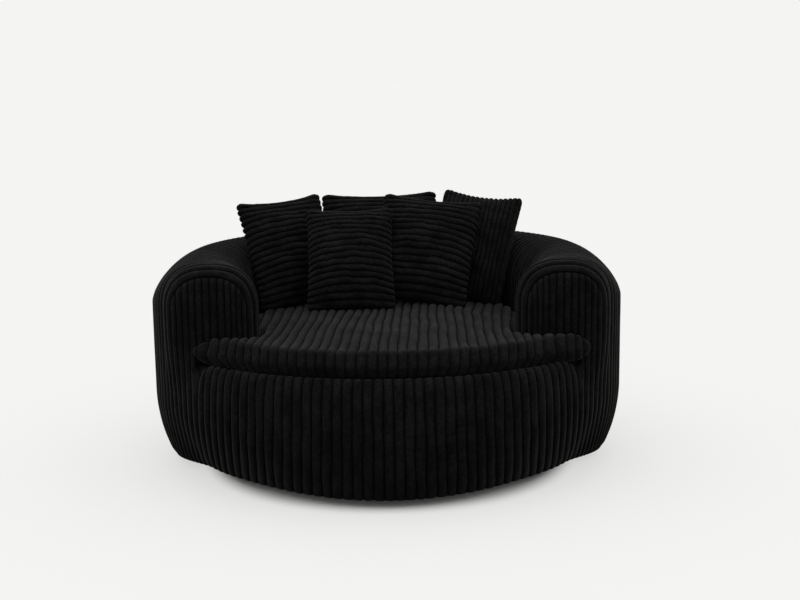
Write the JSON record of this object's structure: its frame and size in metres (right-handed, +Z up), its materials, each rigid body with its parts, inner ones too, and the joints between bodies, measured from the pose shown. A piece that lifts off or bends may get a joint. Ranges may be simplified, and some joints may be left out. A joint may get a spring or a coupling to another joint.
{
  "type": "lounge chair",
  "caption": "Wide round swivel lounge chair with a horseshoe roll for arms and back, a thick loose seat cushion and loose throw pillows, in black cord plush.",
  "frame": {"origin": "on the floor, on the swivel axis, below the middle of the chair", "axes": "+Z up, -Y to the front of the seat, +X to the right of someone who looks at the chair from the front"},
  "size_m": [1.5074, 1.32, 0.8227],
  "materials": {
    "plush": "black jumbo-cord plush, matt with a soft sheen on the wales",
    "foam": "cream upholstery foam",
    "polyester_fill": "white polyester filling in its lining",
    "plywood": "birch plywood, bare",
    "timber": "planed softwood, bare",
    "fibreboard": "bent hardboard, smooth",
    "webbing": "elastic webbing",
    "black_cloth": "thin black lining cloth",
    "glide_nylon": "black nylon",
    "ring_nylon": "natural nylon, smooth",
    "black_steel": "black powder coat",
    "zinc_steel": "bright zinc plate"
  },
  "bodies": {
    "floor_base": {"glide_feet": "glide_nylon", "base_board": "plywood", "swivel_lower_plate": "black_steel", "base_screws": "zinc_steel", "slide_ring": "ring_nylon", "king_bolt": "zinc_steel", "king_nut": "zinc_steel"},
    "chair_body": {"swivel_upper_plate": "black_steel", "plate_bolts": "zinc_steel", "bottom_ring": "plywood", "cross_rails": "timber", "tie_rails": "timber", "body_ribs": "plywood", "top_rail": "timber", "arm_front_board_left": "plywood", "arm_front_board_right": "plywood", "seat_posts": "timber", "seat_ring": "plywood", "front_panel": "plywood", "outer_liner": "fibreboard", "inner_liner": "fibreboard", "webbing_long": "webbing", "webbing_cross": "webbing", "deck_pad": "foam", "deck_cloth": "black_cloth", "dust_cover": "black_cloth", "arm_back_foam": "foam", "arm_end_foam_left": "foam", "arm_end_foam_right": "foam", "front_border_foam": "foam", "arm_back_cover": "plush", "arm_end_cover_left": "plush", "arm_end_cover_right": "plush", "front_border_cover": "plush"},
    "seat_cushion": {"seat_cushion_core": "foam", "seat_cushion_cover": "plush"},
    "pillow_front_left": {"pillow_front_left_insert": "polyester_fill", "pillow_front_left_cover": "plush"},
    "pillow_front_right": {"pillow_front_right_insert": "polyester_fill", "pillow_front_right_cover": "plush"},
    "pillow_left": {"pillow_left_insert": "polyester_fill", "pillow_left_cover": "plush"},
    "pillow_back": {"pillow_back_insert": "polyester_fill", "pillow_back_cover": "plush"},
    "pillow_right": {"pillow_right_insert": "polyester_fill", "pillow_right_cover": "plush"}
  },
  "joints": [
    {"name": "swivel", "type": "hinge", "parent": "floor_base", "child": "chair_body", "pos_m": [0, 0, 0.036], "axis": [0, 0, 1], "continuous": true},
    {"name": "seat_cushion_lift", "type": "slide", "parent": "chair_body", "child": "seat_cushion", "axis": [0, 0, 1], "range_m": [0, 0.25]},
    {"name": "pillow_front_left_lift", "type": "slide", "parent": "seat_cushion", "child": "pillow_front_left", "axis": [0, 0.5446, 0.8387], "range_m": [0, 0.2]},
    {"name": "pillow_front_right_lift", "type": "slide", "parent": "seat_cushion", "child": "pillow_front_right", "axis": [0.0806, 0.5087, 0.8572], "range_m": [0, 0.2]},
    {"name": "pillow_left_lift", "type": "slide", "parent": "seat_cushion", "child": "pillow_left", "axis": [-0.1774, 0.4179, 0.891], "range_m": [0, 0.2]},
    {"name": "pillow_back_lift", "type": "slide", "parent": "seat_cushion", "child": "pillow_back", "axis": [0, 0.4147, 0.91], "range_m": [0, 0.2]},
    {"name": "pillow_right_lift", "type": "slide", "parent": "seat_cushion", "child": "pillow_right", "axis": [0.0806, 0.5087, 0.8572], "range_m": [0, 0.2]}
  ]
}
